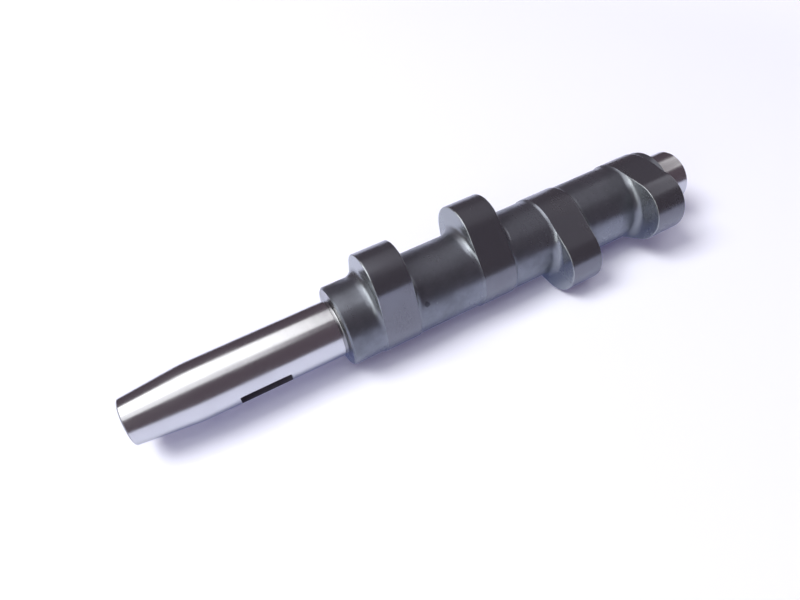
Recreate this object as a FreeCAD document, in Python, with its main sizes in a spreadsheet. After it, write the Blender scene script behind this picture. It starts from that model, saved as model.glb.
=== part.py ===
import FreeCAD
import Part
import math
import os
import Sketcher

# A camshaft, ground from one piece of steel, with a keyed taper nose and four cam lobes.
# Lengths are in millimetres and angles in degrees.
# X runs along the shaft from the nose to the far end, and X = 0 is the locating shoulder.
# The shaft lies at rest with +Z up: the flat flank of lobe three and the base circles touch the surface.
# A lobe's phase is its turn about X from lobe one, and a positive phase leans from +Z towards -Y.

X_AXIS = FreeCAD.Vector(1, 0, 0)
HALF_TURN = 180.0
QUARTER_TURN = 90.0
LOBE_NAMES = ("one", "two", "three", "four")
PARTS_FOLDER = "parts"
NODE_NAME = "camshaft"

# Driving dimensions: alias, value, meaning
DIMENSIONS = (
    ("journal_diameter", 20.0, "ground nose journal that the gear or bearing slides onto"),
    ("nose_length", 72.1, "locating shoulder to the nose end"),
    ("taper_length", 21.0, "length of the nose taper"),
    ("taper_ratio", 5.0, "length of taper for each millimetre of diameter lost"),
    ("taper_blend_radius", 60.0, "round between the taper and the journal"),
    ("nose_edge_break", 0.4, "chamfer at the nose end"),
    ("relief_width", 1.4, "grinding relief in front of the shoulder"),
    ("relief_depth", 0.4, "relief below the journal"),
    ("shoulder_root_radius", 0.7, "round at the foot of the shoulder"),
    ("core_diameter", 28.8, "shaft between the lobes"),
    ("shoulder_chamfer", 0.6, "chamfer at the front edge of the core"),
    ("core_end_chamfer", 0.4, "chamfer at the back edge of the core"),
    ("core_end_land", 0.7, "core left past the last lobe's root round"),
    ("lobe_one_station", 18.8, "shoulder to the middle of lobe one"),
    ("front_lobe_pitch", 39.2, "middle of lobe one to middle of lobe two"),
    ("middle_lobe_pitch", 31.7, "middle of lobe two to middle of lobe three"),
    ("back_lobe_pitch", 38.0, "middle of lobe three to middle of lobe four"),
    ("lobe_width", 13.0, "ground width of a lobe"),
    ("lobe_root_radius", 3.0, "round between the core and a lobe's side"),
    ("base_circle_diameter", 29.7, "part of the cam outline with no lift"),
    ("lobe_lift", 9.2, "rise of a lobe's nose over the base circle"),
    ("lobe_nose_radius", 11.8, "radius of a lobe's nose"),
    ("lobe_two_phase", -26.1, "turn of lobe two from lobe one"),
    ("lobe_three_phase", 106.5, "turn of lobe three from lobe one"),
    ("lobe_four_phase", 75.5, "turn of lobe four from lobe one"),
    ("end_journal_diameter", 20.5, "ground journal at the far end"),
    ("end_journal_length", 13.2, "core to the far end"),
    ("end_root_radius", 0.5, "round at the foot of the end journal"),
    ("end_chamfer", 0.9, "chamfer at the far end"),
    ("key_slot_width", 6.0, "slot for a parallel key"),
    ("key_slot_depth", 3.5, "slot depth below the top of the journal"),
    ("key_slot_length", 17.7, "slot length, square at both ends"),
    ("key_slot_station", 29.6, "shoulder to the middle of the key slot"),
    ("key_slot_phase", 111.3, "turn of the key slot from lobe one"),
    ("key_slot_corner_radius", 0.6, "round in the corners of the slot"),
    ("centre_mouth_diameter", 5.0, "lathe centre at the shaft's ends"),
    ("centre_drill_diameter", 2.0, "pilot hole behind the lathe centre"),
    ("centre_drill_depth", 3.0, "pilot hole past the cone"),
    ("centre_cone_angle", 60.0, "full angle of the lathe centre"),
    ("cutting_margin", 2.0, "reach of a cutting sketch past the stock it removes"),
)

# Derived sizes: alias, formula
DERIVED = (
    ("journal_radius", "journal_diameter / 2"),
    ("nose_end_radius", "(journal_diameter - taper_length / taper_ratio) / 2"),
    ("relief_radius", "journal_radius - relief_depth"),
    ("core_radius", "core_diameter / 2"),
    ("end_journal_radius", "end_journal_diameter / 2"),
    ("base_circle_radius", "base_circle_diameter / 2"),
    ("lobe_nose_reach", "base_circle_radius + lobe_lift"),
    ("lobe_nose_offset", "lobe_nose_reach - lobe_nose_radius"),
    ("flank_angle", "acos((base_circle_radius - lobe_nose_radius) / lobe_nose_offset) / 1 deg"),
    ("lobe_ring_radius", "lobe_nose_reach + cutting_margin"),
    ("lobe_cut_length", "lobe_width + 2 * lobe_root_radius"),
    ("lobe_two_station", "lobe_one_station + front_lobe_pitch"),
    ("lobe_three_station", "lobe_two_station + middle_lobe_pitch"),
    ("lobe_four_station", "lobe_three_station + back_lobe_pitch"),
    ("lobe_one_phase", "0"),
    ("core_length", "lobe_four_station + lobe_width / 2 + lobe_root_radius + core_end_land"),
    ("shaft_end", "core_length + end_journal_length"),
    ("nose_end", "-nose_length"),
    ("taper_end", "taper_length - nose_length"),
    ("relief_start", "-relief_width"),
    ("rest_roll", "180 - flank_angle - lobe_three_phase"),
    ("centre_mouth_radius", "centre_mouth_diameter / 2"),
    ("centre_drill_radius", "centre_drill_diameter / 2"),
    ("centre_cone_depth", "(centre_mouth_radius - centre_drill_radius) / tan(centre_cone_angle / 2)"),
    ("centre_depth", "centre_cone_depth + centre_drill_depth"),
    ("nose_centre_cone_end", "nose_end + centre_cone_depth"),
    ("nose_centre_end", "nose_end + centre_depth"),
    ("far_centre_cone_end", "shaft_end - centre_cone_depth"),
    ("far_centre_end", "shaft_end - centre_depth"),
)


def make_sheet(document):
    """Fill the spreadsheet with the driving and derived sizes, each under its alias."""
    sheet = document.addObject("Spreadsheet::Sheet", "Sizes")
    row = 1
    for alias, value, meaning in DIMENSIONS:
        sheet.set(f"A{row}", alias)
        sheet.set(f"B{row}", str(value))
        sheet.set(f"C{row}", meaning)
        sheet.setAlias(f"B{row}", alias)
        row += 1
    for alias, formula in DERIVED:
        sheet.set(f"A{row}", alias)
        sheet.set(f"B{row}", f"={formula}")
        sheet.setAlias(f"B{row}", alias)
        row += 1
    document.recompute()
    return sheet


def size(sheet, alias):
    """Read one size from the sheet as a plain number."""
    return float(sheet.get(alias))


def origin_plane(body, role):
    """Return the body's own origin plane with the given role."""
    return next(item for item in body.Origin.OriginFeatures if item.Role == role)


def add_sketch(body, name, role):
    """Add a sketch on one of the body's own origin planes."""
    sketch = body.newObject("Sketcher::SketchObject", name)
    sketch.AttachmentSupport = [(origin_plane(body, role), "")]
    sketch.MapMode = "FlatFace"
    return sketch


def bind_value(sketch, constraint, alias):
    """Tie a sketch constraint to a size in the sheet."""
    sketch.setExpression(f"Constraints[{constraint}]", f"Sizes.{alias}")


def pin_corner(sketch, sheet, line, station, radius):
    """Hold a line's first point at a station along the shaft and a radius from its axis."""
    if station is None:
        sketch.addConstraint(Sketcher.Constraint("PointOnObject", line, 1, -2))
    else:
        index = sketch.addConstraint(Sketcher.Constraint("DistanceX", -1, 1, line, 1, size(sheet, station)))
        bind_value(sketch, index, station)
    if radius is None:
        sketch.addConstraint(Sketcher.Constraint("PointOnObject", line, 1, -1))
    else:
        index = sketch.addConstraint(Sketcher.Constraint("DistanceY", -1, 1, line, 1, size(sheet, radius)))
        bind_value(sketch, index, radius)


def finish_feature(body, feature):
    """Recompute a feature and stop if it has failed."""
    body.Document.recompute()
    if not feature.isValid() or feature.Shape.isNull():
        raise RuntimeError(f"{feature.Name} fails: {feature.getStatusString()}")


def add_turned_outline(sketch, sheet, corners):
    """Draw a closed outline through corners given as aliases of station and radius; None is zero."""
    points = []
    for station, radius in corners:
        along = 0.0 if station is None else size(sheet, station)
        out = 0.0 if radius is None else size(sheet, radius)
        points.append(FreeCAD.Vector(along, out, 0))
    count = len(points)
    for index in range(count):
        sketch.addGeometry(Part.LineSegment(points[index], points[(index + 1) % count]), False)
    for index in range(count):
        sketch.addConstraint(Sketcher.Constraint("Coincident", index, 2, (index + 1) % count, 1))
    for index, (station, radius) in enumerate(corners):
        pin_corner(sketch, sheet, index, station, radius)


def add_blank(body, sheet):
    """Turn the nose, the journals and the core as one revolved blank."""
    sketch = add_sketch(body, "BlankOutline", "XZ_Plane")
    corners = (
        ("nose_end", None),
        ("nose_end", "nose_end_radius"),
        ("taper_end", "journal_radius"),
        ("relief_start", "journal_radius"),
        ("relief_start", "relief_radius"),
        (None, "relief_radius"),
        (None, "core_radius"),
        ("core_length", "core_radius"),
        ("core_length", "end_journal_radius"),
        ("shaft_end", "end_journal_radius"),
        ("shaft_end", None),
    )
    add_turned_outline(sketch, sheet, corners)
    taper_corner = corners.index(("taper_end", "journal_radius"))
    sketch.fillet(taper_corner, 1, size(sheet, "taper_blend_radius"), True, True)
    index = sketch.addConstraint(
        Sketcher.Constraint("Radius", len(corners), size(sheet, "taper_blend_radius")))
    bind_value(sketch, index, "taper_blend_radius")
    blank = body.newObject("PartDesign::Revolution", "Blank")
    blank.Profile = sketch
    blank.ReferenceAxis = (sketch, ["H_Axis"])
    blank.Angle = 2 * HALF_TURN
    finish_feature(body, blank)


def add_lobe_disc(body, name):
    """Pad a plain disc that one lobe is ground from."""
    sketch = add_sketch(body, f"Lobe{name.capitalize()}Stock", "YZ_Plane")
    sketch.setExpression("AttachmentOffset.Base.z", f"Sizes.lobe_{name}_station - Sizes.lobe_width / 2")
    sketch.addGeometry(Part.Circle(FreeCAD.Vector(0, 0, 0), FreeCAD.Vector(0, 0, 1), 1.0), False)
    sketch.addConstraint(Sketcher.Constraint("Coincident", 0, 3, -1, 1))
    index = sketch.addConstraint(Sketcher.Constraint("Radius", 0, 1.0))
    bind_value(sketch, index, "lobe_ring_radius")
    disc = body.newObject("PartDesign::Pad", f"Lobe{name.capitalize()}Disc")
    disc.Profile = sketch
    disc.setExpression("Length", "Sizes.lobe_width")
    finish_feature(body, disc)


def circle_edges(feature, station, radius):
    """Name the feature's full circular edges about the shaft's axis at a station and radius."""
    tolerance = 1e-4
    names = []
    for index, edge in enumerate(feature.Shape.Edges, start=1):
        if not isinstance(edge.Curve, Part.Circle):
            continue
        centre = edge.Curve.Center
        on_axis = math.hypot(centre.y, centre.z) < tolerance
        if on_axis and abs(centre.x - station) < tolerance and abs(edge.Curve.Radius - radius) < tolerance:
            names.append(f"Edge{index}")
    return names


def add_edge_feature(body, kind, name, places, alias):
    """Fillet or chamfer the circular edges at the given stations and radii."""
    base = body.Tip
    names = []
    for station, radius in places:
        found = circle_edges(base, station, radius)
        if not found:
            raise RuntimeError(f"{name} finds no edge at X {station:.3f}, radius {radius:.3f}")
        names.extend(found)
    feature = body.newObject(f"PartDesign::{kind}", name)
    feature.Base = (base, names)
    feature.setExpression("Radius" if kind == "Fillet" else "Size", f"Sizes.{alias}")
    finish_feature(body, feature)


def add_lobe_roots(body, sheet):
    """Round the foot of each lobe disc where it meets the core."""
    half_width = size(sheet, "lobe_width") / 2
    core_radius = size(sheet, "core_radius")
    places = []
    for name in LOBE_NAMES:
        station = size(sheet, f"lobe_{name}_station")
        places.append((station - half_width, core_radius))
        places.append((station + half_width, core_radius))
    add_edge_feature(body, "Fillet", "LobeRoots", places, "lobe_root_radius")


def add_cam_outline(sketch, sheet):
    """Draw a cam outline with its nose up: a base arc and a nose arc joined by two straight flanks."""
    base_radius = size(sheet, "base_circle_radius")
    nose_radius = size(sheet, "lobe_nose_radius")
    nose_centre = FreeCAD.Vector(0, size(sheet, "lobe_nose_offset"), 0)
    flank_angle = size(sheet, "flank_angle")
    centre = FreeCAD.Vector(0, 0, 0)
    normal = FreeCAD.Vector(0, 0, 1)
    right = math.radians(QUARTER_TURN - flank_angle)
    left = math.radians(QUARTER_TURN + flank_angle)
    to_right = FreeCAD.Vector(math.cos(right), math.sin(right), 0)
    to_left = FreeCAD.Vector(math.cos(left), math.sin(left), 0)
    base = sketch.addGeometry(
        Part.ArcOfCircle(Part.Circle(centre, normal, base_radius), left, right + 2 * math.pi), False)
    nose = sketch.addGeometry(
        Part.ArcOfCircle(Part.Circle(nose_centre, normal, nose_radius), right, left), False)
    right_flank = sketch.addGeometry(
        Part.LineSegment(to_right * base_radius, nose_centre + to_right * nose_radius), False)
    left_flank = sketch.addGeometry(
        Part.LineSegment(nose_centre + to_left * nose_radius, to_left * base_radius), False)
    sketch.addConstraint(Sketcher.Constraint("Coincident", base, 3, -1, 1))
    sketch.addConstraint(Sketcher.Constraint("PointOnObject", nose, 3, -2))
    sketch.addConstraint(Sketcher.Constraint("Tangent", base, 2, right_flank, 1))
    sketch.addConstraint(Sketcher.Constraint("Tangent", right_flank, 2, nose, 1))
    sketch.addConstraint(Sketcher.Constraint("Tangent", nose, 2, left_flank, 1))
    sketch.addConstraint(Sketcher.Constraint("Tangent", left_flank, 2, base, 1))
    index = sketch.addConstraint(Sketcher.Constraint("Radius", base, base_radius))
    bind_value(sketch, index, "base_circle_radius")
    index = sketch.addConstraint(Sketcher.Constraint("Radius", nose, nose_radius))
    bind_value(sketch, index, "lobe_nose_radius")
    index = sketch.addConstraint(Sketcher.Constraint("DistanceY", -1, 1, nose, 3, nose_centre.y))
    bind_value(sketch, index, "lobe_nose_offset")


def grind_lobe(body, sheet, name):
    """Cut one disc and its root rounds down to the cam outline, turned to the lobe's phase."""
    sketch = add_sketch(body, f"Lobe{name.capitalize()}Outline", "YZ_Plane")
    sketch.AttachmentOffset = FreeCAD.Placement(
        FreeCAD.Vector(0, 0, 0), FreeCAD.Rotation(FreeCAD.Vector(0, 0, 1), 0))
    sketch.setExpression("AttachmentOffset.Base.z", f"Sizes.lobe_{name}_station + Sizes.lobe_cut_length / 2")
    sketch.setExpression("AttachmentOffset.Rotation.Angle", f"Sizes.lobe_{name}_phase")
    add_cam_outline(sketch, sheet)
    ring = sketch.addGeometry(
        Part.Circle(FreeCAD.Vector(0, 0, 0), FreeCAD.Vector(0, 0, 1), size(sheet, "lobe_ring_radius")), False)
    sketch.addConstraint(Sketcher.Constraint("Coincident", ring, 3, -1, 1))
    index = sketch.addConstraint(Sketcher.Constraint("Radius", ring, size(sheet, "lobe_ring_radius")))
    sketch.setExpression(f"Constraints[{index}]", "Sizes.lobe_ring_radius + Sizes.cutting_margin")
    return add_cut(body, sketch, f"Lobe{name.capitalize()}", "Sizes.lobe_cut_length")


def add_cut(body, sketch, name, length):
    """Pocket a sketch into the solid and make sure that it removes material."""
    before = body.Tip.Shape.Volume
    cut = body.newObject("PartDesign::Pocket", name)
    cut.Profile = sketch
    cut.setExpression("Length", length)
    finish_feature(body, cut)
    if not cut.Shape.Volume < before:
        raise RuntimeError(f"{name} removes nothing")
    return cut


def add_key_slot(body, sheet):
    """Mill the square-ended key slot into the journal."""
    sketch = add_sketch(body, "KeySlotOutline", "XY_Plane")
    sketch.AttachmentOffset = FreeCAD.Placement(
        FreeCAD.Vector(0, 0, 0), FreeCAD.Rotation(X_AXIS, size(sheet, "key_slot_phase")))
    sketch.setExpression("AttachmentOffset.Rotation.Angle", "Sizes.key_slot_phase")
    sketch.setExpression("AttachmentOffset.Base.y", "-Sizes.journal_radius * sin(Sizes.key_slot_phase)")
    sketch.setExpression("AttachmentOffset.Base.z", "Sizes.journal_radius * cos(Sizes.key_slot_phase)")
    middle = -size(sheet, "key_slot_station")
    half_length = size(sheet, "key_slot_length") / 2
    half_width = size(sheet, "key_slot_width") / 2
    corners = [
        FreeCAD.Vector(middle - half_length, -half_width, 0),
        FreeCAD.Vector(middle + half_length, -half_width, 0),
        FreeCAD.Vector(middle + half_length, half_width, 0),
        FreeCAD.Vector(middle - half_length, half_width, 0),
    ]
    for index in range(4):
        sketch.addGeometry(Part.LineSegment(corners[index], corners[(index + 1) % 4]), False)
    for index in range(4):
        sketch.addConstraint(Sketcher.Constraint("Coincident", index, 2, (index + 1) % 4, 1))
    sketch.addConstraint(Sketcher.Constraint("Horizontal", 0))
    sketch.addConstraint(Sketcher.Constraint("Vertical", 1))
    sketch.addConstraint(Sketcher.Constraint("Horizontal", 2))
    sketch.addConstraint(Sketcher.Constraint("Symmetric", 0, 1, 2, 2, -1))
    index = sketch.addConstraint(Sketcher.Constraint("DistanceX", 0, 1, 0, 2, 2 * half_length))
    bind_value(sketch, index, "key_slot_length")
    index = sketch.addConstraint(Sketcher.Constraint("DistanceY", 1, 1, 1, 2, 2 * half_width))
    bind_value(sketch, index, "key_slot_width")
    index = sketch.addConstraint(Sketcher.Constraint("DistanceX", 0, 2, -1, 1, -middle - half_length))
    sketch.setExpression(f"Constraints[{index}]", "Sizes.key_slot_station - Sizes.key_slot_length / 2")
    slot = add_cut(body, sketch, "KeySlot", "Sizes.key_slot_depth")
    round_key_slot_corners(body, sheet, slot)


def round_key_slot_corners(body, sheet, slot):
    """Round the four upright corners of the key slot, as the cutter leaves them."""
    tilt = FreeCAD.Rotation(X_AXIS, size(sheet, "key_slot_phase"))
    upright = tilt.multVec(FreeCAD.Vector(0, 0, 1))
    nose_journal_start = size(sheet, "taper_end")
    names = []
    for index, edge in enumerate(slot.Shape.Edges, start=1):
        if not isinstance(edge.Curve, Part.Line):
            continue
        middle = edge.CenterOfMass
        on_journal = nose_journal_start < middle.x < size(sheet, "relief_start")
        if on_journal and edge.tangentAt(edge.FirstParameter).cross(upright).Length < 1e-6:
            names.append(f"Edge{index}")
    rounds = body.newObject("PartDesign::Fillet", "KeySlotCorners")
    rounds.Base = (slot, names)
    rounds.setExpression("Radius", "Sizes.key_slot_corner_radius")
    finish_feature(body, rounds)


def add_lathe_centre(body, sheet, name, face, cone_end, drill_end):
    """Drill one end for the lathe: a cone for the centre and a pilot hole behind it."""
    sketch = add_sketch(body, f"{name}Outline", "XZ_Plane")
    corners = (
        (face, None),
        (face, "centre_mouth_radius"),
        (cone_end, "centre_drill_radius"),
        (drill_end, "centre_drill_radius"),
        (drill_end, None),
    )
    add_turned_outline(sketch, sheet, corners)
    before = body.Tip.Shape.Volume
    centre = body.newObject("PartDesign::Groove", name)
    centre.Profile = sketch
    centre.ReferenceAxis = (sketch, ["H_Axis"])
    centre.Angle = 2 * HALF_TURN
    finish_feature(body, centre)
    if not centre.Shape.Volume < before:
        raise RuntimeError(f"{name} removes nothing")


def build_camshaft(document, sheet):
    """Build the camshaft body and lay it on the flank of lobe three."""
    body = document.addObject("PartDesign::Body", "Camshaft")
    body.Label = NODE_NAME
    add_blank(body, sheet)
    for name in LOBE_NAMES:
        add_lobe_disc(body, name)
    add_lobe_roots(body, sheet)
    for name in LOBE_NAMES:
        grind_lobe(body, sheet, name)
    core_radius = size(sheet, "core_radius")
    core_length = size(sheet, "core_length")
    nose_edge = [(size(sheet, "nose_end"), size(sheet, "nose_end_radius"))]
    add_edge_feature(body, "Chamfer", "NoseEdge", nose_edge, "nose_edge_break")
    shoulder_root = [(0.0, size(sheet, "relief_radius"))]
    add_edge_feature(body, "Fillet", "ShoulderRoot", shoulder_root, "shoulder_root_radius")
    add_edge_feature(body, "Chamfer", "ShoulderEdge", [(0.0, core_radius)], "shoulder_chamfer")
    add_edge_feature(body, "Chamfer", "CoreEndEdge", [(core_length, core_radius)], "core_end_chamfer")
    end_root = [(core_length, size(sheet, "end_journal_radius"))]
    add_edge_feature(body, "Fillet", "EndRoot", end_root, "end_root_radius")
    end_edge = [(size(sheet, "shaft_end"), size(sheet, "end_journal_radius"))]
    add_edge_feature(body, "Chamfer", "EndEdge", end_edge, "end_chamfer")
    add_key_slot(body, sheet)
    add_lathe_centre(body, sheet, "NoseCentre", "nose_end", "nose_centre_cone_end", "nose_centre_end")
    add_lathe_centre(body, sheet, "FarCentre", "shaft_end", "far_centre_cone_end", "far_centre_end")
    body.Placement = FreeCAD.Placement(
        FreeCAD.Vector(0, 0, 0), FreeCAD.Rotation(X_AXIS, size(sheet, "rest_roll")))
    body.setExpression("Placement.Rotation.Angle", "Sizes.rest_roll")
    return body


def check_document(document):
    """Stop if any object of the document has failed."""
    for item in document.Objects:
        if "Invalid" in item.State or "Error" in item.State:
            raise RuntimeError(f"{item.Name} is {item.State}")


def check_body(body):
    """Stop unless the body is one valid solid."""
    shape = body.Shape
    if shape.isNull() or not shape.isValid():
        raise RuntimeError(f"{body.Label} is not a valid shape")
    if len(shape.Solids) != 1:
        raise RuntimeError(f"{body.Label} has {len(shape.Solids)} solids")


def main():
    """Build the document, check it and write the node's file."""
    os.makedirs(PARTS_FOLDER, exist_ok=True)
    document = FreeCAD.newDocument("CamshaftModel")
    sheet = make_sheet(document)
    camshaft = build_camshaft(document, sheet)
    document.recompute()
    check_document(document)
    check_body(camshaft)
    camshaft.Shape.exportStep(f"{PARTS_FOLDER}/{camshaft.Label}.step")
    box = camshaft.Shape.BoundBox
    print(f"{camshaft.Label}: volume {camshaft.Shape.Volume:.0f} mm3")
    print(f"X {box.XMin:.2f} to {box.XMax:.2f}, Y {box.YMin:.2f} to {box.YMax:.2f}")
    print(f"Z {box.ZMin:.2f} to {box.ZMax:.2f}, centre of mass {camshaft.Shape.CenterOfGravity}")


main()
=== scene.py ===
"""The looks of a short one-piece camshaft that lies on a pale table.

The shaft's axis is X. The locating shoulder is at X = 0, the nose lies towards -X and the far end
towards +X. Angles about the axis are counted from straight up (+Z) towards -Y.
"""

import logging
import math
from collections.abc import Callable
from dataclasses import dataclass, field
from enum import Enum

import bmesh
import bpy
from mathutils import Matrix, Vector

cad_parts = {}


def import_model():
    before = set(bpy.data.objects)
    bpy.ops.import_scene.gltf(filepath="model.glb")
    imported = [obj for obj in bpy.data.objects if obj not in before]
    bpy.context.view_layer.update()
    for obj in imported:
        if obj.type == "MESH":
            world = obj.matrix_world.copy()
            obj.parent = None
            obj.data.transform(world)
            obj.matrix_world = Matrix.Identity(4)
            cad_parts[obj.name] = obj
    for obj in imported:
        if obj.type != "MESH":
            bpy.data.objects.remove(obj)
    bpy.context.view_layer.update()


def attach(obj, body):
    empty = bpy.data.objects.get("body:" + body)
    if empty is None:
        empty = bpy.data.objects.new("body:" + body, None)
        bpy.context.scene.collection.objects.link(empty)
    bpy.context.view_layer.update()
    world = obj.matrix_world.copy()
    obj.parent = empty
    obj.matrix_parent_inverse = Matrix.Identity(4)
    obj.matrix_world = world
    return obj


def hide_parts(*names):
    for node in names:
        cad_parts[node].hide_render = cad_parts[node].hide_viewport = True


LOG = logging.getLogger("camshaft")
MM = 0.001
BRIGHT = "bright"
CORE_RADIUS = 14.4 * MM
JOURNAL_RADIUS = 10.0 * MM
NOISE_MEAN = 0.5
CARD_FOOT = -0.0148
WHITE = (1.0, 1.0, 1.0)
Colour = tuple[float, float, float]
Point = tuple[float, float, float]
Span = tuple[float, float]
Profile = Callable[[float], tuple[float, float]]
Share = Callable[[float], float]


class Finish(Enum):
    """The surface finishes of the shaft, each with its material index."""

    GROUND = 0
    TURNED = 1
    CORE = 2
    CAM = 3
    SLOT = 4


class Wire:
    """A node socket that takes part in Python arithmetic; each operation adds a Math node."""

    def __init__(self, tree: bpy.types.NodeTree, socket: bpy.types.NodeSocket) -> None:
        """Keep the tree and the socket."""
        self.tree = tree
        self.socket = socket

    def math(self, operation: str, *values: "Wire | float") -> "Wire":
        """Add a Math node.

        Args:
            operation: the node's operation.
            values: its inputs, in order.

        Returns:
            The node's result.
        """
        node = self.tree.nodes.new("ShaderNodeMath")
        node.operation = operation
        for index, value in enumerate(values):
            plug(self.tree, node.inputs[index], value)
        return Wire(self.tree, node.outputs[0])

    def __add__(self, other: "Wire | float") -> "Wire":
        """Add."""
        return self.math("ADD", self, other)

    def __radd__(self, other: float) -> "Wire":
        """Add to a number."""
        return self.math("ADD", other, self)

    def __sub__(self, other: "Wire | float") -> "Wire":
        """Subtract."""
        return self.math("SUBTRACT", self, other)

    def __rsub__(self, other: float) -> "Wire":
        """Subtract from a number."""
        return self.math("SUBTRACT", other, self)

    def __mul__(self, other: "Wire | float") -> "Wire":
        """Multiply."""
        return self.math("MULTIPLY", self, other)


def plug(tree: bpy.types.NodeTree, socket: bpy.types.NodeSocket, value: object) -> None:
    """Link a wire to a socket, or set the socket's own value.

    Args:
        tree: the node tree that holds the socket.
        socket: the input to fill.
        value: a wire, a number, a colour or a vector.
    """
    if isinstance(value, Wire):
        tree.links.new(value.socket, socket)
    elif isinstance(value, tuple) and len(socket.default_value) == 4:
        socket.default_value = (*value, 1.0)
    else:
        socket.default_value = value


@dataclass(frozen=True)
class Noise:
    """The settings of a noise texture."""

    scale: float
    detail: float = 3.0
    roughness: float = 0.6


class Shader:
    """Adds nodes to one cleared node tree."""

    def __init__(self, tree: bpy.types.NodeTree) -> None:
        """Clear the tree and keep it."""
        self.tree = tree
        tree.nodes.clear()

    def add(self, kind: str, settings: dict[str, object] | None = None, output: int | str = 0,
            **values: object) -> Wire:
        """Add any node.

        Args:
            kind: the node's type.
            settings: its properties, set before its sockets.
            output: the output to return, by index or name.
            values: its inputs by name, with spaces as underscores, or as in0, in1 and so on.

        Returns:
            The chosen output.
        """
        node = self.tree.nodes.new(kind)
        for name, value in (settings or {}).items():
            setattr(node, name, value)
        for name, value in values.items():
            key = int(name[2:]) if name[:2] == "in" and name[2:].isdigit() else name.replace("_", " ")
            plug(self.tree, node.inputs[key], value)
        return Wire(self.tree, node.outputs[output]) if len(node.outputs) else Wire(self.tree, None)

    def point(self) -> Wire:
        """Return the shaded point in the piece's Object coordinates."""
        return self.add("ShaderNodeTexCoord", output="Object")

    def noise(self, vector: Wire, pattern: Noise) -> Wire:
        """Add a noise texture and return its value, about 0 to 1."""
        return self.add("ShaderNodeTexNoise", Vector=vector, Scale=pattern.scale,
                        Detail=pattern.detail, Roughness=pattern.roughness)

    def step(self, value: Wire, span: Span) -> Wire:
        """Rise smoothly from 0 at the span's start to 1 at its end."""
        return self.add("ShaderNodeMapRange", {"interpolation_type": "SMOOTHSTEP"}, Value=value,
                        From_Min=span[0], From_Max=span[1], To_Min=0.0, To_Max=1.0)

    def mix(self, factor: Wire | float, first: Wire | Colour, second: Wire | Colour) -> Wire:
        """Mix two colours."""
        return self.add("ShaderNodeMix", {"data_type": "RGBA"}, 2, in0=factor, in6=first, in7=second)

    def stretched(self, vector: Wire, scale: Point) -> Wire:
        """Scale a vector part by part."""
        return self.add("ShaderNodeVectorMath", {"operation": "MULTIPLY"}, in0=vector, in1=scale)


@dataclass(frozen=True)
class Traces:
    """The patterns that all the steel surfaces share.

    Attributes:
        blotch: the noise of the blotches.
        blotch_span: its values from a blotch's edge to its full colour.
        fine: the noise of the fine grain.
        lines: the noise of the tool's lines, along the shaft in units of their pitch.
        line_change: how fast the lines change across the shaft, per metre.
        speck_scale: scale of the cells that can hold a speck each.
        speck_span: distances from a cell's middle, from a full speck to none.
        choice: the noise that chooses the cells with a speck.
        choice_span: its values from no speck to a full one.
        speck_colour: the specks' colour.
        spot_colour: the dark stain's colour.
        spot_share: how far the stain covers the steel.
        spot_span: shares of the stain's radius, from its full colour to none.
    """

    blotch: Noise = Noise(scale=70.0, detail=5.0, roughness=0.62)
    blotch_span: Span = (0.38, 0.68)
    fine: Noise = Noise(scale=1400.0)
    lines: Noise = Noise(scale=1.0)
    line_change: float = 30.0
    speck_scale: float = 420.0
    speck_span: Span = (0.06, 0.16)
    choice: Noise = Noise(scale=150.0, detail=2.0, roughness=0.5)
    choice_span: Span = (0.56, 0.64)
    speck_colour: Colour = (0.4, 0.4, 0.42)
    spot_colour: Colour = (0.05, 0.05, 0.06)
    spot_share: float = 0.75
    spot_span: Span = (0.5, 1.1)


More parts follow.
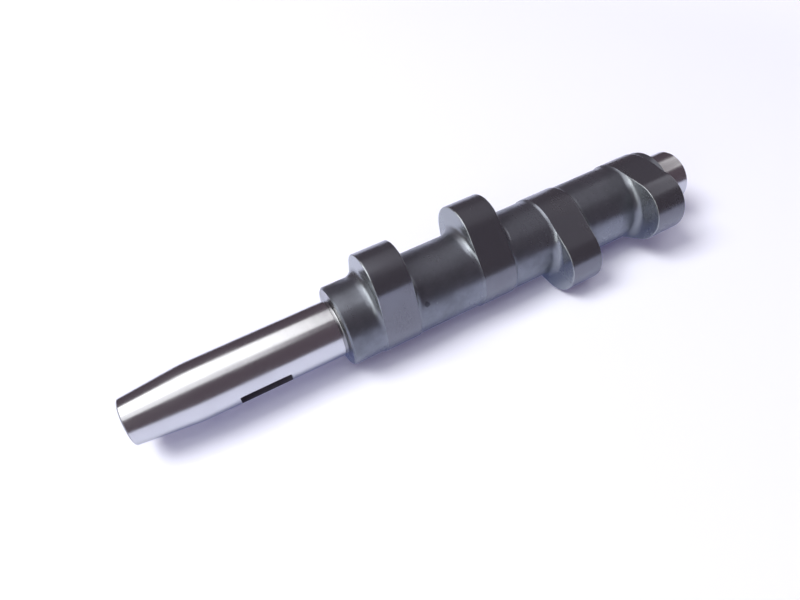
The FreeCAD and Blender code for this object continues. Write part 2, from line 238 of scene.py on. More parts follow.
@dataclass(frozen=True)
class Steel:
    """A steel surface: its colours, gloss and the traces that tools and handling leave on it.

    Attributes:
        name: the material's name.
        colour: the main colour.
        stain: the colour of its blotches.
        stain_share: how far the blotches go, from 0 to 1.
        roughness: the mean roughness.
        roughness_spread: how much the roughness varies.
        line_depth: depth of the tool's circular lines, in metres.
        line_pitch: pitch of those lines, in metres.
        speck_share: how strongly small pale specks show.
        grain_depth: depth of the fine grain, in metres.
        metallic: how metallic it is.
        edge_tint: how bright it is at a grazing angle.
        bright_colour: the colour where the skin's bright share is 1.
        bright_roughness: the roughness there.
        spot: the middle of a small dark stain.
        spot_radius: its radius, in metres.
        traces: the patterns of the blotches, lines, specks and stain.
    """

    name: str
    colour: Colour
    stain: Colour
    stain_share: float
    roughness: float
    roughness_spread: float
    line_depth: float
    line_pitch: float
    speck_share: float = 0.0
    grain_depth: float = 0.0
    metallic: float = 1.0
    edge_tint: float = 1.0
    bright_colour: Colour | None = None
    bright_roughness: float = 0.3
    spot: Point | None = None
    spot_radius: float = 0.0
    traces: Traces = Traces()

    def material(self) -> bpy.types.Material:
        """Build the material."""
        traces = self.traces
        material = bpy.data.materials.new(self.name)
        material.use_nodes = True
        shader = Shader(material.node_tree)
        point = shader.point()
        blotch = shader.step(shader.noise(point, traces.blotch), traces.blotch_span)
        fine = shader.noise(point, traces.fine)
        stretch = (1.0 / self.line_pitch, traces.line_change, traces.line_change)
        lines = shader.noise(shader.stretched(point, stretch), traces.lines)
        colour = shader.mix(blotch * self.stain_share, self.colour, self.stain)
        if self.speck_share:
            colour = shader.mix(self.specks(shader, point), colour, traces.speck_colour)
        spread = (blotch - NOISE_MEAN) + (fine - NOISE_MEAN) + (lines - NOISE_MEAN)
        roughness = self.roughness + spread * self.roughness_spread
        if self.bright_colour is not None:
            share = shader.add("ShaderNodeAttribute", {"attribute_name": BRIGHT}, "Fac")
            colour = shader.mix(share, colour, self.bright_colour)
            roughness = roughness + share * (self.bright_roughness - self.roughness)
        if self.spot is not None:
            colour = shader.mix(self.dark_stain(shader, point, fine), colour, traces.spot_colour)
        line_bump = shader.add("ShaderNodeBump", Height=lines, Strength=1.0, Distance=self.line_depth)
        bump = shader.add("ShaderNodeBump", Height=fine, Strength=1.0, Distance=self.grain_depth,
                          Normal=line_bump)
        surface = shader.add("ShaderNodeBsdfPrincipled", Base_Color=colour, Roughness=roughness,
                             Metallic=self.metallic, Normal=bump,
                             Specular_Tint=(self.edge_tint, self.edge_tint, self.edge_tint))
        shader.add("ShaderNodeOutputMaterial", Surface=surface)
        return material

    def specks(self, shader: Shader, point: Wire) -> Wire:
        """Scatter a few small pale specks.

        Args:
            shader: the material's shader.
            point: the shaded point.

        Returns:
            How strongly a speck covers the point.
        """
        traces = self.traces
        cells = shader.add("ShaderNodeTexVoronoi", Vector=point, Scale=traces.speck_scale)
        near = 1.0 - shader.step(cells, traces.speck_span)
        chosen = shader.step(shader.noise(point, traces.choice), traces.choice_span)
        return near * chosen * self.speck_share

    def dark_stain(self, shader: Shader, point: Wire, fine: Wire) -> Wire:
        """Place the small dark stain, with a ragged edge.

        Args:
            shader: the material's shader.
            point: the shaded point.
            fine: the fine grain, which makes the edge ragged.

        Returns:
            How strongly the stain covers the point.
        """
        away = shader.add("ShaderNodeVectorMath", {"operation": "DISTANCE"}, "Value", in0=point,
                          in1=self.spot) + (fine - NOISE_MEAN) * self.spot_radius
        start, end = self.traces.spot_span
        inside = 1.0 - shader.step(away, (start * self.spot_radius, end * self.spot_radius))
        return inside * self.traces.spot_share


GROUND_STEEL = Steel(
    name="ground_steel", colour=(0.58, 0.58, 0.59), stain=(0.5, 0.5, 0.515), stain_share=0.35,
    roughness=0.22, roughness_spread=0.05, line_depth=0.00001, line_pitch=0.0004, edge_tint=0.62,
)
TURNED_STEEL = Steel(
    name="turned_steel", colour=(0.33, 0.33, 0.34), stain=(0.22, 0.22, 0.23), stain_share=0.5,
    roughness=0.3, roughness_spread=0.08, line_depth=0.00002, line_pitch=0.0003,
)
CORE_STEEL = Steel(
    name="dark_turned_steel", colour=(0.198, 0.21, 0.24), stain=(0.128, 0.136, 0.156), stain_share=0.8,
    roughness=0.33, roughness_spread=0.09, line_depth=0.000014, line_pitch=0.0008, speck_share=0.5,
    grain_depth=0.000001, metallic=0.88, bright_colour=(0.33, 0.345, 0.355), bright_roughness=0.27,
    spot=(28.8 * MM, -12.89 * MM, 6.43 * MM), spot_radius=1.2 * MM,
)
CAM_STEEL = Steel(
    name="ground_cam_steel", colour=(0.182, 0.186, 0.21), stain=(0.158, 0.158, 0.176), stain_share=0.5,
    roughness=0.25, roughness_spread=0.05, line_depth=0.000003, line_pitch=0.0003, speck_share=0.2,
    grain_depth=0.0000005, metallic=0.87,
)
SLOT_STEEL = Steel(
    name="milled_slot_steel", colour=(0.2, 0.19, 0.23), stain=(0.14, 0.14, 0.16), stain_share=0.5,
    roughness=0.45, roughness_spread=0.08, line_depth=0.000008, line_pitch=0.0005,
    grain_depth=0.000004, metallic=0.6,
)


class Skin:
    """Grows one closed skin along the shaft's axis, ring by ring."""

    def __init__(self, sides: int, station: float, radius: float) -> None:
        """Start from a closed disc that faces the nose.

        Args:
            sides: points in a ring.
            station: the disc's place along the shaft.
            radius: the disc's radius.
        """
        self.mesh = bmesh.new()
        self.bright = self.mesh.verts.layers.float.new(BRIGHT)
        turn = Matrix.Translation((station, 0.0, 0.0)) @ Matrix.Rotation(math.pi / 2, 4, "Y")
        bmesh.ops.create_circle(self.mesh, cap_ends=True, cap_tris=True, segments=sides,
                                radius=radius, matrix=turn)
        self.rim = [edge for edge in self.mesh.edges if edge.is_boundary]

    def grow(self, profile: Profile, finish: Finish, bright: Share = lambda _angle: 0.0) -> None:
        """Add one ring.

        Args:
            profile: gives the station and the radius at an angle about the axis.
            finish: the finish of the band that leads to the ring.
            bright: gives how bright the steel is at an angle, from 0 to 1.
        """
        grown = bmesh.ops.extrude_edge_only(self.mesh, edges=self.rim)["geom"]
        for item in grown:
            if isinstance(item, bmesh.types.BMVert):
                angle = math.atan2(-item.co.y, item.co.z)
                station, radius = profile(angle)
                item.co = (station, -radius * math.sin(angle), radius * math.cos(angle))
                item[self.bright] = bright(angle)
            elif isinstance(item, bmesh.types.BMFace):
                item.material_index = finish.value
        self.rim = [item for item in grown if isinstance(item, bmesh.types.BMEdge) and item.is_boundary]

    def turn_to(self, station: float, radius: float, finish: Finish) -> None:
        """Add one round ring.

        Args:
            station: the ring's place along the shaft.
            radius: its radius.
            finish: the finish of the band that leads to it.
        """
        self.grow(lambda _angle: (station, radius), finish)

    def close(self, station: float) -> None:
        """Draw the last ring together on the axis."""
        points = {vert for edge in self.rim for vert in edge.verts}
        bmesh.ops.pointmerge(self.mesh, verts=list(points), merge_co=(station, 0.0, 0.0))


@dataclass(frozen=True)
class CamOutline:
    """A lobe's outline: a base arc and a nose arc joined by straight flanks.

    Attributes:
        base_radius: radius with no lift.
        nose_radius: radius of the nose.
        lift: rise of the nose over the base circle.
    """

    base_radius: float = 14.85 * MM
    nose_radius: float = 11.8 * MM
    lift: float = 9.2 * MM

    @property
    def nose_offset(self) -> float:
        """Distance from the shaft's axis to the nose arc's centre."""
        return self.base_radius + self.lift - self.nose_radius

    @property
    def flank_angle(self) -> float:
        """Angle between the nose and the flank's normal."""
        return math.acos((self.base_radius - self.nose_radius) / self.nose_offset)

    def radius(self, angle: float) -> float:
        """Return the outline's distance from the axis.

        Args:
            angle: the angle from the nose, in radians.

        Returns:
            The distance, in metres.
        """
        turn = abs(math.remainder(angle, 2 * math.pi))
        flank = self.flank_angle
        across = self.nose_radius * math.sin(flank)
        along = self.nose_offset + self.nose_radius * math.cos(flank)
        if turn >= flank:
            return self.base_radius
        if turn >= math.atan2(across, along):
            return self.base_radius / math.cos(flank - turn)
        side = self.nose_offset * math.sin(turn)
        return self.nose_offset * math.cos(turn) + math.sqrt(self.nose_radius**2 - side**2)


@dataclass(frozen=True)
class Lobe:
    """One cam lobe, with a round at its foot and on its edge on either side.

    Attributes:
        station: the lobe's middle along the shaft.
        phase: the angle of its nose, in degrees.
        outline: its cam outline.
        width: its ground width.
        core_radius: radius of the core on either side.
        root_radius: radius of the round at its foot.
        edge_break: the round on its edges where it stands high over the core.
        base_edge_break: the same round on the base circle.
        root_rings: rings in a root round.
        edge_rings: rings in an edge round.
        face_shares: the rings of a flat side, from 0 at the root round to 1 at the edge round.
        land_shares: the rings of the ground surface after its first edge, from -1 to 1.
        bright_power: how late a root round turns bright on its way up.
    """

    station: float
    phase: float
    outline: CamOutline = CamOutline()
    width: float = 13.0 * MM
    core_radius: float = CORE_RADIUS
    root_radius: float = 3.0 * MM
    edge_break: float = 0.3 * MM
    base_edge_break: float = 0.05 * MM
    root_rings: int = 8
    edge_rings: int = 3
    face_shares: tuple[float, ...] = (0.06, 0.5, 0.94, 1.0)
    land_shares: tuple[float, ...] = (-0.95, 0.0, 0.95, 1.0)
    bright_power: float = 1.5

    def height(self, angle: float) -> float:
        """Return how far the lobe stands over the core at an angle about the axis."""
        return self.outline.radius(angle - math.radians(self.phase)) - self.core_radius

    def round_at(self, angle: float) -> float:
        """Return the edge round's radius, which shrinks towards the base circle."""
        low = self.outline.base_radius - self.core_radius
        share = min(1.0, (self.height(angle) - low) / self.root_radius)
        return self.base_edge_break + (self.edge_break - self.base_edge_break) * share

    def root(self, angle: float, share: float, side: int) -> tuple[float, float]:
        """Place a point on a root round.

        Args:
            angle: the angle about the axis.
            share: from 0 at the core to 1 at the lobe's side.
            side: -1 towards the nose, 1 towards the far end.

        Returns:
            Its station and radius.
        """
        reach = min(self.height(angle) - self.round_at(angle), self.root_radius)
        full = math.acos((self.root_radius - reach) / self.root_radius)
        turn = full * share
        foot = self.station + side * (self.width / 2 + self.root_radius * math.sin(full))
        station = foot - side * self.root_radius * math.sin(turn)
        return station, self.core_radius + self.root_radius * (1 - math.cos(turn))

    def face(self, angle: float, share: float, side: int) -> tuple[float, float]:
        """Place a point on a lobe's flat side, from 0 at the round's top to 1 at the edge."""
        high = self.height(angle) - self.round_at(angle)
        low = min(high, self.root_radius)
        return self.station + side * self.width / 2, self.core_radius + low + (high - low) * share

    def edge(self, angle: float, share: float, side: int) -> tuple[float, float]:
        """Place a point on an edge round, from 0 at the flat side to 1 at the ground surface."""
        turn = share * math.pi / 2
        size = self.round_at(angle)
        station = self.station + side * (self.width / 2 - size * (1 - math.cos(turn)))
        return station, self.core_radius + self.height(angle) - size * (1 - math.sin(turn))

    def land(self, angle: float, share: float) -> tuple[float, float]:
        """Place a point on the ground surface, from -1 to 1 between its edge rounds."""
        half = self.width / 2 - self.round_at(angle)
        return self.station + half * share, self.core_radius + self.height(angle)

    def build_side(self, skin: Skin, side: int) -> None:
        """Grow one side: its root round, flat side and edge round, in the skin's own order.

        Args:
            skin: the skin to grow.
            side: -1 towards the nose, 1 towards the far end.
        """
        steps = [(self.root, index / self.root_rings) for index in range(self.root_rings + 1)]
        steps += [(self.face, share) for share in self.face_shares]
        steps += [(self.edge, index / self.edge_rings) for index in range(1, self.edge_rings + 1)]
        for place, share in steps if side < 0 else reversed(steps[:-1]):
            bright = share**self.bright_power if place == self.root else 1.0
            skin.grow(lambda angle: place(angle, share, side), Finish.CORE,
                      lambda angle: bright * min(1.0, self.height(angle) / self.root_radius))

    def build(self, skin: Skin) -> None:
        """Grow the lobe's rings onto the skin.

        Args:
            skin: the skin, whose last ring is on the core before the lobe.
        """
        self.build_side(skin, -1)
        for share in self.land_shares:
            skin.grow(lambda angle: self.land(angle, share), Finish.CAM)
        self.build_side(skin, 1)


@dataclass(frozen=True)
class LatheCentre:
    """The centre that holds an end in the lathe: a cone with a pilot hole behind it.

    Attributes:
        mouth_radius: the cone's radius at the end face.
        drill_radius: radius of the pilot hole.
        drill_depth: its depth behind the cone.
        cone_angle: the cone's full angle, in degrees.
    """

    mouth_radius: float = 2.5 * MM
    drill_radius: float = 1.0 * MM
    drill_depth: float = 3.0 * MM
    cone_angle: float = 60.0

    @property
    def cone_depth(self) -> float:
        """Depth of the cone."""
        return (self.mouth_radius - self.drill_radius) / math.tan(math.radians(self.cone_angle / 2))


@dataclass(frozen=True)
class Nose:
    """The ground nose: a tapered end, a journal and the relief before the shoulder.

    Attributes:
        length: from the end face to the shoulder.
        radius: the journal's radius.
        taper_length: from the end face to the corner between taper and journal.
        taper_ratio: length over which the taper's diameter changes by 1.
        blend_radius: radius of the round in that corner.
        blend_rings: rings in that round.
        edge_break: the chamfer at the end face.
        relief_width: width of the relief.
        relief_depth: its depth below the journal.
        root_radius: radius of the round at the foot of the shoulder.
        root_rings: rings in that round.
        taper_rings: extra rings on the taper, from the end face.
        journal_rings: extra rings on the journal, by their stations.
    """

    length: float = 72.1 * MM
    radius: float = JOURNAL_RADIUS
    taper_length: float = 21.0 * MM
    taper_ratio: float = 5.0
    blend_radius: float = 60.0 * MM
    blend_rings: int = 6
    edge_break: float = 0.4 * MM
    relief_width: float = 1.4 * MM
    relief_depth: float = 0.4 * MM
    root_radius: float = 0.7 * MM
    root_rings: int = 5
    taper_rings: tuple[float, ...] = (1.5 * MM, 9.0 * MM)
    journal_rings: tuple[float, ...] = (-40.0 * MM, -10.0 * MM, -2.0 * MM)

    @property
    def slope(self) -> float:
        """Half angle of the taper, in radians."""
        return math.atan(0.5 / self.taper_ratio)

    def taper_radius(self, station: float) -> float:
        """Return the taper's radius at a station."""
        start = self.taper_length - self.length
        return self.radius - (start - station) * 0.5 / self.taper_ratio

    def build(self, skin: Skin) -> None:
        """Grow the nose's rings, from the end face to the foot of the shoulder.

        Args:
            skin: the skin, whose last ring is the mouth of the lathe centre.
        """
        end = -self.length
        skin.turn_to(end, self.taper_radius(end) - self.edge_break, Finish.TURNED)
        skin.turn_to(end + self.edge_break, self.taper_radius(end + self.edge_break), Finish.TURNED)
        corner = self.taper_length - self.length
        tangent = self.blend_radius * math.tan(self.slope / 2)
        for inward in self.taper_rings:
            skin.turn_to(end + inward, self.taper_radius(end + inward), Finish.GROUND)
        for index in range(self.blend_rings + 1):
            turn = self.slope * (1 - index / self.blend_rings)
            station = corner + tangent - self.blend_radius * math.sin(turn)
            skin.turn_to(station, self.radius - self.blend_radius * (1 - math.cos(turn)), Finish.GROUND)
        for station in (*self.journal_rings, -self.relief_width):
            skin.turn_to(station, self.radius, Finish.GROUND)
        low = self.radius - self.relief_depth
        skin.turn_to(-self.relief_width, low, Finish.TURNED)
        for index in range(self.root_rings + 1):
            turn = math.pi / 2 * index / self.root_rings
            station = self.root_radius * (math.sin(turn) - 1)
            skin.turn_to(station, low + self.root_radius * (1 - math.cos(turn)), Finish.TURNED)


@dataclass(frozen=True)
class KeySlot:
    """The square-ended slot for a parallel key.

    Attributes:
        station: the slot's middle along the shaft.
        phase: the angle of its middle about the axis, in degrees.
        length: its length along the shaft.
        width: its width.
        depth: its depth below the journal's highest line.
        corner_radius: radius of its four upright corners.
        corner_segments: faces in a corner's round.
        journal_radius: radius of the journal that it is cut into.
        side_slack: how far past its walls a face still counts as its own.
        surface_slack: how far below the journal's surface such a face has to lie.
    """

    station: float = -29.6 * MM
    phase: float = 109.217
    length: float = 17.7 * MM
    width: float = 6.0 * MM
    depth: float = 3.5 * MM
    corner_radius: float = 0.6 * MM
    corner_segments: int = 4
    journal_radius: float = JOURNAL_RADIUS
    side_slack: float = 0.01 * MM
    surface_slack: float = 0.02 * MM

    def cutter(self) -> bpy.types.Object:
        """Build the shape that the milling cutter sweeps.

        Returns:
            The cutter's object.
        """
        mesh = bmesh.new()
        bmesh.ops.create_cube(mesh, size=1.0)
        tall = 2 * self.depth
        bmesh.ops.scale(mesh, vec=(self.length, self.width, tall), verts=mesh.verts)
        upright = [edge for edge in mesh.edges
                   if abs(edge.verts[0].co.z - edge.verts[1].co.z) > self.depth]
        bmesh.ops.bevel(mesh, geom=upright, offset=self.corner_radius, segments=self.corner_segments,
                        profile=0.5, affect="EDGES", material=-1)
        place = Matrix.Rotation(math.radians(self.phase), 4, "X")
        place = place @ Matrix.Translation((self.station, 0.0, self.journal_radius))
        bmesh.ops.transform(mesh, matrix=place, verts=mesh.verts)
        return put_object("slot_cutter", mesh)

    def holds(self, point: Vector) -> bool:
        """Tell whether a point lies in the slot, clear of the journal's surface."""
        local = Matrix.Rotation(-math.radians(self.phase), 3, "X") @ point
        inside = abs(local.x - self.station) < self.length / 2 + self.side_slack
        inside = inside and abs(local.y) < self.width / 2 + self.side_slack
        deepest = self.journal_radius - self.surface_slack
        return inside and 0 < local.z and math.hypot(local.y, local.z) < deepest

    def cut(self, shaft: bpy.types.Object) -> None:
        """Mill the slot into the shaft's mesh.

        Args:
            shaft: the shaft's object.
        """
        cutter = self.cutter()
        milling = shaft.modifiers.new("key slot", "BOOLEAN")
        milling.operation = "DIFFERENCE"
        milling.solver = "EXACT"
        milling.object = cutter
        graph = bpy.context.evaluated_depsgraph_get()
        milled = bpy.data.meshes.new_from_object(shaft.evaluated_get(graph))
        shaft.modifiers.clear()
        shaft.data = milled
        bpy.data.objects.remove(cutter)
        for polygon in milled.polygons:
            if self.holds(polygon.center):
                polygon.material_index = Finish.SLOT.value


def put_object(name: str, mesh: bmesh.types.BMesh) -> bpy.types.Object:
    """Turn a finished bmesh into an object of the scene.

    Args:
        name: the object's name.
        mesh: its mesh, which is freed.

    Returns:
        The new object.
    """
    data = bpy.data.meshes.new(name)
    mesh.to_mesh(data)
    mesh.free()
    thing = bpy.data.objects.new(name, data)
    bpy.context.scene.collection.objects.link(thing)
    return thing


@dataclass
class Camshaft:
    """The whole shaft: nose, core with four lobes and end journal, in one piece of steel.

    Attributes:
        sides: points in a ring of the skin.
        core_radius: radius of the core.
        core_length: from the shoulder to the end journal.
        shoulder_chamfer: the chamfer at the core's front edge.
        core_end_chamfer: the chamfer at its back edge.
        end_radius: radius of the end journal.
        end_length: its length.
        end_root_radius: radius of the round at its foot.
        end_chamfer: the chamfer at the far end.
        root_rings: rings in the round at the end journal's foot.
        core_rings: extra rings on the core before the first lobe, by their stations.
        ring_after_root: distance of an extra ring from the end journal's foot.
        ring_before_chamfer: distance of another one from its chamfer.
        weld_distance: points nearer than this become one.
        sliver_length: shorter edges are dissolved.
        sharp_angle: the angle between faces from which an edge is sharp, in degrees.
        nose: the ground nose.
        slot: its key slot.
        centre: the lathe centre in each end.
        lobes: the four lobes, from the shoulder to the far end.
        finishes: the steel of each finish.
    """

    sides: int = 360
    core_radius: float = CORE_RADIUS
    core_length: float = 137.9 * MM
    shoulder_chamfer: float = 0.6 * MM
    core_end_chamfer: float = 0.4 * MM
    end_radius: float = 10.25 * MM
    end_length: float = 13.2 * MM
    end_root_radius: float = 0.5 * MM
    end_chamfer: float = 0.9 * MM
    root_rings: int = 4
    core_rings: tuple[float, ...] = (1.2 * MM, 6.0 * MM)
    ring_after_root: float = 1.2 * MM
    ring_before_chamfer: float = 0.6 * MM
    weld_distance: float = 0.002 * MM
    sliver_length: float = 0.001 * MM
    sharp_angle: float = 24.0
    nose: Nose = field(default_factory=Nose)
    slot: KeySlot = field(default_factory=KeySlot)
    centre: LatheCentre = field(default_factory=LatheCentre)
    lobes: tuple[Lobe, ...] = (
        Lobe(station=18.8 * MM, phase=-2.083),
        Lobe(station=58.0 * MM, phase=-28.183),
        Lobe(station=89.7 * MM, phase=104.417),
        Lobe(station=127.7 * MM, phase=73.417),
    )
    finishes: dict[Finish, Steel] = field(default_factory=lambda: {
        Finish.GROUND: GROUND_STEEL,
        Finish.TURNED: TURNED_STEEL,
        Finish.CORE: CORE_STEEL,
        Finish.CAM: CAM_STEEL,
        Finish.SLOT: SLOT_STEEL,
    })

    def build_far_end(self, skin: Skin) -> float:
        """Grow the core's end, the end journal and the far lathe centre.

        Args:
            skin: the skin, whose last ring is at the foot of the last lobe.

        Returns:
            The station where the pilot hole ends.
        """
        end = self.core_length
        skin.turn_to(end - self.core_end_chamfer, self.core_radius, Finish.CORE)
        skin.turn_to(end, self.core_radius - self.core_end_chamfer, Finish.CORE)
        for index in range(self.root_rings + 1):
            turn = math.pi / 2 * index / self.root_rings
            station = end + self.end_root_radius * (1 - math.cos(turn))
            radius = self.end_radius + self.end_root_radius * (1 - math.sin(turn))
            skin.turn_to(station, radius, Finish.TURNED)
        tip = end + self.end_length
        edge = tip - self.end_chamfer
        for station in (end + self.ring_after_root, edge - self.ring_before_chamfer, edge):
            skin.turn_to(station, self.end_radius, Finish.GROUND)
        skin.turn_to(tip, self.end_radius - self.end_chamfer, Finish.TURNED)
        skin.turn_to(tip, self.centre.mouth_radius, Finish.TURNED)
        skin.turn_to(tip - self.centre.cone_depth, self.centre.drill_radius, Finish.TURNED)
        bottom = tip - self.centre.cone_depth - self.centre.drill_depth
        skin.turn_to(bottom, self.centre.drill_radius, Finish.TURNED)
        return bottom

    def build(self) -> bpy.types.Object:
        """Build the shaft's closed skin.

        Returns:
            The shaft's object.
        """
        tip = -self.nose.length
        cone_end = tip + self.centre.cone_depth
        skin = Skin(self.sides, cone_end + self.centre.drill_depth, self.centre.drill_radius)
        skin.turn_to(cone_end, self.centre.drill_radius, Finish.TURNED)
        skin.turn_to(tip, self.centre.mouth_radius, Finish.TURNED)
        self.nose.build(skin)
        skin.turn_to(0.0, self.core_radius - self.shoulder_chamfer, Finish.TURNED)
        skin.turn_to(self.shoulder_chamfer, self.core_radius, Finish.CORE)
        for station in self.core_rings:
            skin.turn_to(station, self.core_radius, Finish.CORE)
        for lobe in self.lobes:
            lobe.build(skin)
        skin.close(self.build_far_end(skin))
        bmesh.ops.remove_doubles(skin.mesh, verts=skin.mesh.verts, dist=self.weld_distance)
        bmesh.ops.dissolve_degenerate(skin.mesh, edges=skin.mesh.edges, dist=self.sliver_length)
        bmesh.ops.recalc_face_normals(skin.mesh, faces=skin.mesh.faces)
        return put_object("camshaft_skin", skin.mesh)

    def dress(self, shaft: bpy.types.Object) -> None:
        """Give the shaft one material for each finish, in the order of their indices.

        Args:
            shaft: the shaft's object.
        """
        for finish in Finish:
            shaft.data.materials.append(self.finishes[finish].material())

    def smooth(self, shaft: bpy.types.Object) -> None:
        """Shade the shaft smooth, with sharp edges where its faces turn.

        Args:
            shaft: the shaft's object.
        """
        shaft.data.shade_smooth()
        shaft.data.set_sharp_from_angle(angle=math.radians(self.sharp_angle))

    def make(self) -> bpy.types.Object:
        """Make the finished piece and put it in the frame."""
        shaft = self.build()
        self.dress(shaft)
        self.slot.cut(shaft)
        self.smooth(shaft)
        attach(shaft, "root")
        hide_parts("camshaft")
        LOG.info("camshaft: %d faces", len(shaft.data.polygons))
        return shaft


@dataclass(frozen=True)
class SoftBox:
    """A flat lamp.

    Attributes:
        name: the lamp's name.
        place: its middle.
        size: its width and height.
        strength: how bright it looks, where 1 is white.
        colour: its colour.
        turn: its turn about Y from shining straight down, in degrees.
        lights: whether it lights matt surfaces such as the table.
        mirrored: whether polished steel shows it.
    """

    name: str
    place: Point
    size: tuple[float, float]
    strength: float
    colour: Colour = WHITE
    turn: float = 0.0
    lights: bool = True
    mirrored: bool = True

    def hang(self) -> None:
        """Add the lamp."""
        lamp = bpy.data.lights.new(self.name, "AREA")
        lamp.shape = "RECTANGLE"
        lamp.size, lamp.size_y = self.size
        lamp.color = self.colour
        lamp.energy = self.strength * math.pi * lamp.size * lamp.size_y
        thing = bpy.data.objects.new(self.name, lamp)
        thing.location = self.place
        thing.rotation_euler = (0.0, math.radians(self.turn), 0.0)
        thing.visible_diffuse = self.lights
        thing.visible_glossy = self.mirrored
        bpy.context.scene.collection.objects.link(thing)
        LOG.info("%s: %.2f by %.2f m", self.name, lamp.size, lamp.size_y)


@dataclass(frozen=True)
class DarkCard:
    """An upright card that only polished steel sees.

    Attributes:
        low: its lowest corner.
        high: its highest corner.
    """

    low: Point
    high: Point

    def stand(self, colour: Colour) -> None:
        """Stand the card on the table.

        Args:
            colour: what the steel sees of it.
        """
        mesh = bmesh.new()
        # A square of side 1, which the matrix below turns upright and stretches to the card.
        bmesh.ops.create_grid(mesh, x_segments=1, y_segments=1, size=0.5)
        low, high = Vector(self.low), Vector(self.high)
        place = Matrix.Translation((low + high) / 2) @ Matrix.Rotation(math.pi / 2, 4, "X")
        place = place @ Matrix.Diagonal((high.x - low.x, high.z - low.z, 1.0, 1.0))
        bmesh.ops.transform(mesh, matrix=place, verts=mesh.verts)
        card = put_object("dark_card", mesh)
        card.visible_camera = False
        card.visible_diffuse = False
        card.visible_shadow = False
        material = bpy.data.materials.new("dark_card")
        material.use_nodes = True
        shader = Shader(material.node_tree)
        paint = shader.add("ShaderNodeEmission", Color=colour, Strength=1.0)
        shader.add("ShaderNodeOutputMaterial", Surface=paint)
        card.data.materials.append(material)


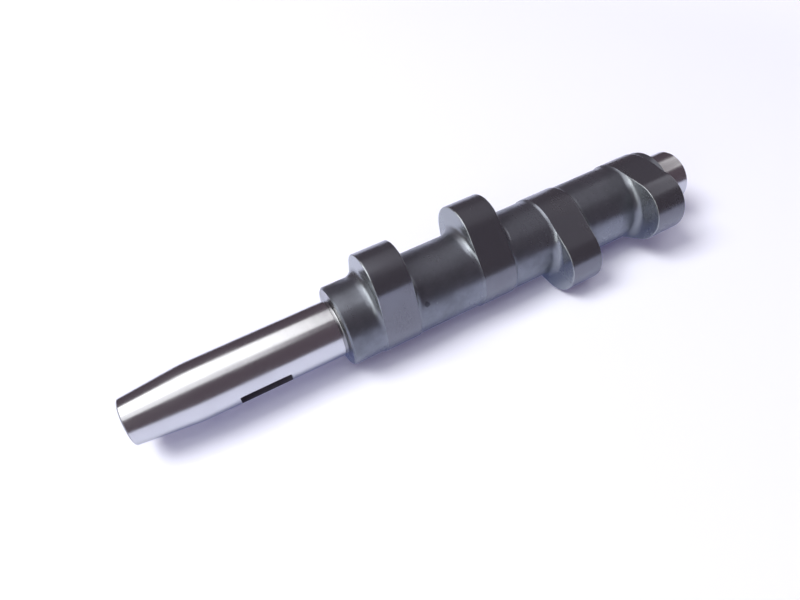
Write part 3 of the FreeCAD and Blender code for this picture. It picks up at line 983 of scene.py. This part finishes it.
@dataclass(frozen=True)
class Studio:
    """The table, the soft light over it and the room round it.

    Attributes:
        floor_size: side of the table's square.
        floor_level: the table's height.
        floor_colour: the table's colour.
        seen_glow: what the camera sees of the table beyond the light that it gets.
        mirrored_glow: the same as steel sees it.
        room_colour: the room's colour for all but the camera, and the dark cards' colour.
        fade_start: distance from the shoulder at which the table starts to fade into the white room.
        fade_end: distance at which the fade is full.
        boxes: the lamps.
        cards: the dark cards behind the shaft.
    """

    floor_size: float = 8.0
    floor_level: float = -14.85 * MM
    floor_colour: Colour = (0.91, 0.935, 1.0)
    seen_glow: Colour = (0.045, 0.038, 0.085)
    mirrored_glow: Colour = (0.04, 0.06, 0.2)
    room_colour: Colour = (0.13, 0.1, 0.125)
    fade_start: float = 0.28
    fade_end: float = 0.9
    boxes: tuple[SoftBox, ...] = (
        SoftBox(name="window_lamp", place=(-0.95, 0.84, 2.0), size=(2.1, 2.1), strength=2.2,
                colour=(0.98, 0.99, 1.0), lights=False),
        SoftBox(name="near_lamp", place=(-0.95, -0.6, 2.0), size=(2.1, 0.8), strength=1.3,
                colour=(0.96, 0.98, 1.0)),
        SoftBox(name="key_lamp", place=(-2.7, 0.7, 1.8), size=(1.8, 2.8), strength=3.6,
                colour=(0.96, 1.0, 0.99), turn=-45.0, lights=False),
        SoftBox(name="side_lamp", place=(-2.6, -1.7, 1.2), size=(1.8, 2.0), strength=1.6,
                colour=(0.95, 1.0, 0.98), turn=-60.0),
        SoftBox(name="window_edge", place=(0.24, 0.74, 2.0), size=(0.28, 2.1), strength=1.5,
                colour=(0.98, 0.99, 1.0), lights=False),
        SoftBox(name="ceiling_lamp", place=(1.14, 0.5, 2.0), size=(1.48, 3.0), strength=0.1,
                colour=(0.98, 0.97, 1.0), lights=False),
        SoftBox(name="far_lamp", place=(2.9, 0.32, 2.0), size=(1.8, 2.2), strength=0.95, lights=False),
        SoftBox(name="top_lamp", place=(0.2, 0.1, 2.2), size=(2.0, 2.0), strength=0.78,
                colour=(0.9, 0.93, 1.0), mirrored=False),
        SoftBox(name="table_lamp", place=(-1.15, 0.4, 2.0), size=(1.1, 1.1), strength=12.4,
                colour=(1.0, 0.99, 0.98), turn=-30.0, mirrored=False),
    )
    cards: tuple[DarkCard, ...] = (
        DarkCard(low=(-0.5, 0.07, CARD_FOOT), high=(0.02, 0.07, 0.06)),
        DarkCard(low=(0.165, 0.12, CARD_FOOT), high=(0.7, 0.12, 0.08)),
    )

    def lay_floor(self) -> None:
        """Lay the table under the shaft."""
        mesh = bmesh.new()
        bmesh.ops.create_grid(mesh, x_segments=1, y_segments=1, size=self.floor_size / 2,
                              matrix=Matrix.Translation((0.0, 0.0, self.floor_level)))
        floor = put_object("table", mesh)
        material = bpy.data.materials.new("white_table")
        material.use_nodes = True
        shader = Shader(material.node_tree)
        seen = shader.add("ShaderNodeLightPath", output="Is Camera Ray")
        mirrored = shader.add("ShaderNodeLightPath", output="Is Glossy Ray")
        through = shader.add("ShaderNodeLightPath", output="Is Transmission Ray")
        board = shader.add("ShaderNodeBsdfDiffuse", Color=self.floor_colour)
        seen_part = shader.add("ShaderNodeEmission", Color=self.seen_glow, Strength=seen + through)
        mirrored_part = shader.add("ShaderNodeEmission", Color=self.mirrored_glow, Strength=mirrored)
        away = shader.add("ShaderNodeVectorMath", {"operation": "LENGTH"}, "Value", in0=shader.point())
        far = shader.step(away, (self.fade_start, self.fade_end))
        far_part = shader.add("ShaderNodeEmission", Color=WHITE, Strength=(seen + through) * far)
        near_part = shader.add("ShaderNodeAddShader", in0=seen_part, in1=mirrored_part)
        glow = shader.add("ShaderNodeAddShader", in0=near_part, in1=far_part)
        both = shader.add("ShaderNodeAddShader", in0=board, in1=glow)
        shader.add("ShaderNodeOutputMaterial", Surface=both)
        floor.data.materials.append(material)

    def fill_room(self) -> None:
        """Surround the table with a plain room, white where the camera sees it."""
        world = bpy.data.worlds.new("room")
        bpy.context.scene.world = world
        world.use_nodes = True
        shader = Shader(world.node_tree)
        camera = shader.add("ShaderNodeLightPath", output="Is Camera Ray")
        colour = shader.mix(camera, self.room_colour, WHITE)
        room = shader.add("ShaderNodeBackground", Color=colour, Strength=1.0)
        shader.add("ShaderNodeOutputWorld", Surface=room)

    def build(self) -> None:
        """Lay the table, hang the lamps and fill the room."""
        self.lay_floor()
        for card in self.cards:
            card.stand(self.room_colour)
        for box in self.boxes:
            box.hang()
        self.fill_room()
        bpy.context.scene.view_settings.view_transform = "Standard"


@dataclass(frozen=True)
class Viewpoint:
    """The camera at the photograph's place.

    Attributes:
        place: its position.
        right: its right-hand direction.
        down: its downward direction.
        forward: the direction that it looks in.
        lens: its focal length, in millimetres.
        sensor_width: the width of its sensor, in millimetres.
        nearest: the least distance that it sees, in metres.
    """

    place: Point = (-33.5809 * MM, -130.2653 * MM, 157.7140 * MM)
    right: Point = (0.8749885510, -0.4788357775, -0.0714935931)
    down: Point = (-0.3997838244, -0.6313141777, -0.6645414229)
    forward: Point = (0.2730712900, 0.6100481188, -0.7438234759)
    lens: float = 27.0
    sensor_width: float = 36.0
    nearest: float = 0.01

    def build(self) -> None:
        """Add the camera and make it the scene's own."""
        data = bpy.data.cameras.new("photo_camera")
        data.lens = self.lens
        data.sensor_width = self.sensor_width
        data.sensor_fit = "HORIZONTAL"
        data.clip_start = self.nearest
        camera = bpy.data.objects.new("photo_camera", data)
        turn = Matrix((self.right, -Vector(self.down), -Vector(self.forward))).transposed().to_4x4()
        camera.matrix_world = Matrix.Translation(self.place) @ turn
        bpy.context.scene.collection.objects.link(camera)
        bpy.context.scene.camera = camera


def main() -> None:
    """Build the camshaft, its table, lamps and camera, and note the sizes."""
    logging.basicConfig(level=logging.INFO, format="%(name)s: %(message)s")
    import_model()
    Camshaft().make()
    Studio().build()
    Viewpoint().build()


if __name__ == "__main__":
    main()
